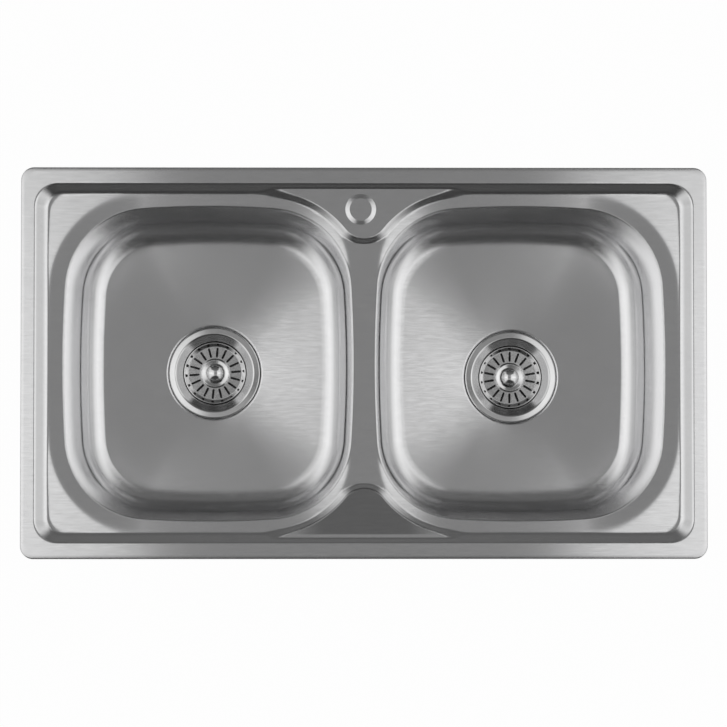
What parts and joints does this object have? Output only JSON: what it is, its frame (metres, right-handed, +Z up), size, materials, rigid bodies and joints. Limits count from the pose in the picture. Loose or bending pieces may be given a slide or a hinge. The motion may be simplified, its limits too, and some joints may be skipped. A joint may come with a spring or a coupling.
{
  "type": "double bowl kitchen sink",
  "caption": "Inset stainless steel kitchen sink with two deep round-cornered bowls side by side, a stepped rim, a tap ledge and lift-out strainer baskets.",
  "frame": {"origin": "middle of the sink in plan, on the worktop surface, which is the underside of the rim seal", "axes": "+X to the right along the length, +Y to the tap side at the back, +Z up"},
  "size_m": [0.78, 0.445, 0.2658],
  "materials": {
    "brushed_steel": "brushed along the length",
    "satin_steel": "satin walls, brushed floor",
    "polished_steel": "polished",
    "plain_steel": "mill finish",
    "zinc_plate": "bright zinc plate",
    "foam_rubber": "closed-cell foam",
    "damping_pad": "matt",
    "rubber": "matt",
    "waste_plastic": "moulded",
    "brass": "turned"
  },
  "bodies": {
    "sink": {"sink_deck": "brushed_steel", "rim_seal": "foam_rubber", "left_bowl": "satin_steel", "left_sound_pad": "damping_pad", "back_left_rail": "plain_steel", "front_left_rail": "plain_steel", "left_rail": "plain_steel", "left_strainer_flange": "polished_steel", "left_flange_seal": "rubber", "left_body_seal": "rubber", "left_waste_body": "waste_plastic", "left_centre_screw": "plain_steel", "left_thread_insert": "brass", "right_bowl": "satin_steel", "right_sound_pad": "damping_pad", "back_right_rail": "plain_steel", "front_right_rail": "plain_steel", "right_rail": "plain_steel", "right_strainer_flange": "polished_steel", "right_flange_seal": "rubber", "right_body_seal": "rubber", "right_waste_body": "waste_plastic", "right_centre_screw": "plain_steel", "right_thread_insert": "brass", "clip_bolts": "zinc_plate", "clip_claws": "zinc_plate", "clip_nuts": "zinc_plate"},
    "left_stopper": {"left_basket_stopper": "rubber"},
    "left_basket": {"left_basket_cup": "polished_steel", "left_basket_stem": "polished_steel", "left_basket_knob": "polished_steel"},
    "right_stopper": {"right_basket_stopper": "rubber"},
    "right_basket": {"right_basket_cup": "polished_steel", "right_basket_stem": "polished_steel", "right_basket_knob": "polished_steel"}
  },
  "joints": [
    {"name": "left_basket_lift", "type": "slide", "parent": "sink", "child": "left_stopper", "axis": [0, 0, 1], "range_m": [0, 0.23]},
    {"name": "left_basket_turn", "type": "hinge", "parent": "left_stopper", "child": "left_basket", "pos_m": [-0.1775, -0.007, -0.19], "axis": [0, 0, 1], "continuous": true},
    {"name": "right_basket_lift", "type": "slide", "parent": "sink", "child": "right_stopper", "axis": [0, 0, 1], "range_m": [0, 0.23]},
    {"name": "right_basket_turn", "type": "hinge", "parent": "right_stopper", "child": "right_basket", "pos_m": [0.1775, -0.012, -0.19], "axis": [0, 0, 1], "continuous": true}
  ]
}
